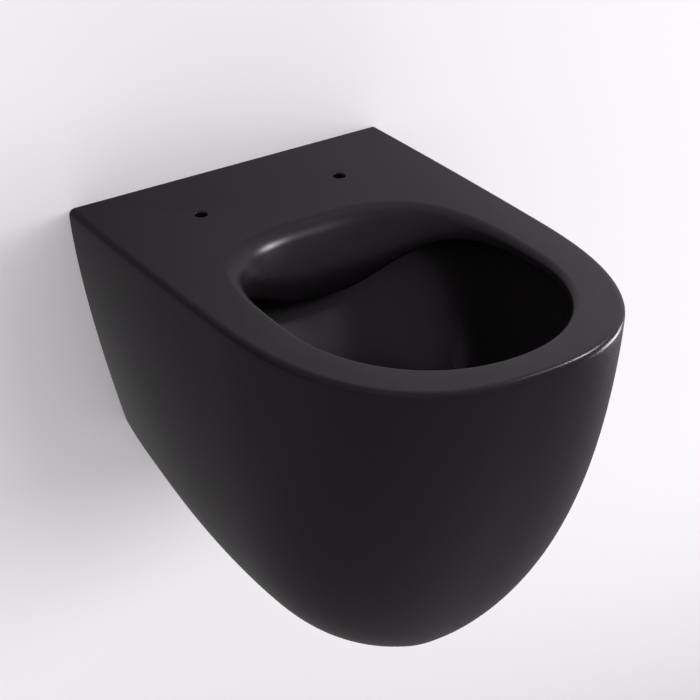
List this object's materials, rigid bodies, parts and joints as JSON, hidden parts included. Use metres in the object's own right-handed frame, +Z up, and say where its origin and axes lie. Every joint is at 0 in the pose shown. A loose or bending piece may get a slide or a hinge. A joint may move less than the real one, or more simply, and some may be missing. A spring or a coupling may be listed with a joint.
{
  "type": "wall hung toilet",
  "caption": "Rimless wall hung toilet pan in black glazed china, with hooded flush inlet, trapway, concealed wall brackets, and flush and drain connectors.",
  "frame": {"origin": "midway between the two wall studs, on the finished wall's plane", "axes": "+Y into the wall along the studs, -Y out to the pan's front, +Z up, +X to the right of someone who faces the wall"},
  "size_m": [0.36, 0.5425, 0.353],
  "materials": {
    "black_china": "satin black glaze over vitreous china",
    "pale_plastic": "moulded polypropylene, natural white",
    "pipe_plastic": "extruded and moulded polyethylene, dark grey",
    "rubber": "moulded black rubber",
    "zinc_steel": "zinc plated steel",
    "bracket_steel": "zinc plated, bent and welded steel plate",
    "wedge_plastic": "glass filled polyamide, grey",
    "cap_plastic": "soft polyethylene, black"
  },
  "bodies": {
    "root": {"pan": "black_china", "flow_restrictor": "pale_plastic", "inlet_seal": "rubber", "flush_pipe": "pipe_plastic", "outlet_seal": "rubber", "outlet_connector": "pipe_plastic", "wall_studs": "zinc_steel", "stud_washers": "zinc_steel", "stud_nuts": "zinc_steel", "bracket_left": "bracket_steel", "bracket_right": "bracket_steel", "bearing_pad_left": "rubber", "bearing_pad_right": "rubber", "clamp_wedge_left": "wedge_plastic", "clamp_wedge_right": "wedge_plastic", "clamp_screws": "zinc_steel", "access_cap_left": "cap_plastic", "access_cap_right": "cap_plastic"}
  },
  "joints": []
}
